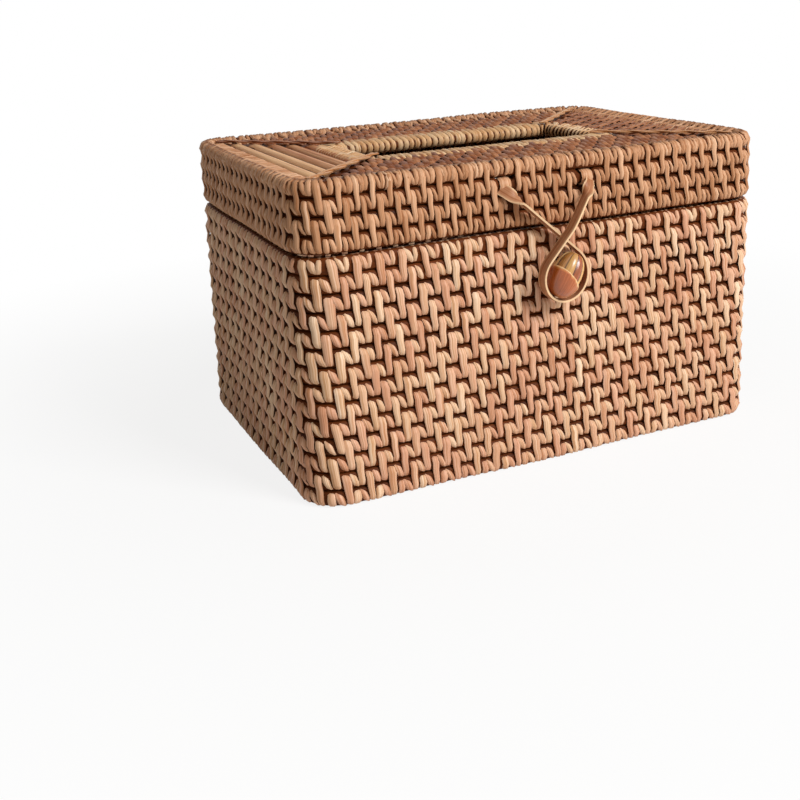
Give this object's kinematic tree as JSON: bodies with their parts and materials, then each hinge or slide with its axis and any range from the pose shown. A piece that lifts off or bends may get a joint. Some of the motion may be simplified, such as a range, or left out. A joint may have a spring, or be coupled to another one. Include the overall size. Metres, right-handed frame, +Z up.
{
  "type": "tissue box cover",
  "caption": "Woven rattan tissue box with a hinged lid, a long dispensing slot in the lid top and a strip loop that closes over a knotted toggle on the front.",
  "frame": {"origin": "middle of the underside, on the surface that the box stands on", "axes": "+X along the length, to the right as seen from the front; -Y is the front with the clasp; +Z up"},
  "size_m": [0.19, 0.1431, 0.114],
  "materials": {
    "wall_rattan": "rattan hoops bound with split peel, satin",
    "top_rattan": "darker red-brown rattan hoops and peel, satin",
    "floor_rattan": "rattan hoops bound with split peel, matte",
    "strip_peel": "flat split rattan peel, satin",
    "toggle_peel": "folded rattan peel, glossy orange brown"
  },
  "bodies": {
    "base": {"base_wall_hoop_01": "wall_rattan", "base_wall_hoop_02": "wall_rattan", "base_wall_hoop_03": "wall_rattan", "base_wall_hoop_04": "wall_rattan", "base_wall_hoop_05": "wall_rattan", "base_wall_hoop_06": "wall_rattan", "base_wall_hoop_07": "wall_rattan", "base_wall_hoop_08": "wall_rattan", "base_wall_hoop_09": "wall_rattan", "base_wall_hoop_10": "wall_rattan", "base_wall_hoop_11": "wall_rattan", "base_wall_hoop_12": "wall_rattan", "base_wall_hoop_13": "wall_rattan", "base_wall_hoop_14": "wall_rattan", "floor_hoop_01": "floor_rattan", "floor_hoop_02": "floor_rattan", "floor_hoop_03": "floor_rattan", "floor_hoop_04": "floor_rattan", "floor_hoop_05": "floor_rattan", "floor_hoop_06": "floor_rattan", "floor_hoop_07": "floor_rattan", "floor_hoop_08": "floor_rattan", "floor_hoop_09": "floor_rattan", "floor_spine": "floor_rattan", "toggle_knot": "toggle_peel", "toggle_tie": "strip_peel"},
    "lid": {"hinge_loop_left": "strip_peel", "hinge_loop_right": "strip_peel", "lid_edge_hoop": "wall_rattan", "lid_mitre_tie_back_left": "strip_peel", "lid_mitre_tie_back_right": "strip_peel", "lid_mitre_tie_front_left": "strip_peel", "lid_mitre_tie_front_right": "strip_peel", "lid_top_hoop_01": "top_rattan", "lid_top_hoop_02": "top_rattan", "lid_top_hoop_03": "top_rattan", "lid_top_hoop_04": "top_rattan", "lid_top_hoop_05": "top_rattan", "lid_top_hoop_06": "top_rattan", "lid_wall_hoop_01": "wall_rattan", "lid_wall_hoop_02": "wall_rattan", "lid_wall_hoop_03": "wall_rattan", "slot_rim_hoop": "top_rattan"},
    "clasp": {"clasp_loop": "strip_peel"}
  },
  "joints": [
    {"name": "lid_hinge", "type": "hinge", "parent": "base", "child": "lid", "pos_m": [0, 0.06193, 0.08513], "axis": [-1, 0, 0], "range_deg": [0, 110], "deforming": ["clasp_loop"]},
    {"name": "clasp_swing", "type": "hinge", "parent": "lid", "child": "clasp", "pos_m": [-0.0014, -0.06193, 0.10458], "axis": [-1, 0, 0], "range_deg": [0, 60]}
  ]
}
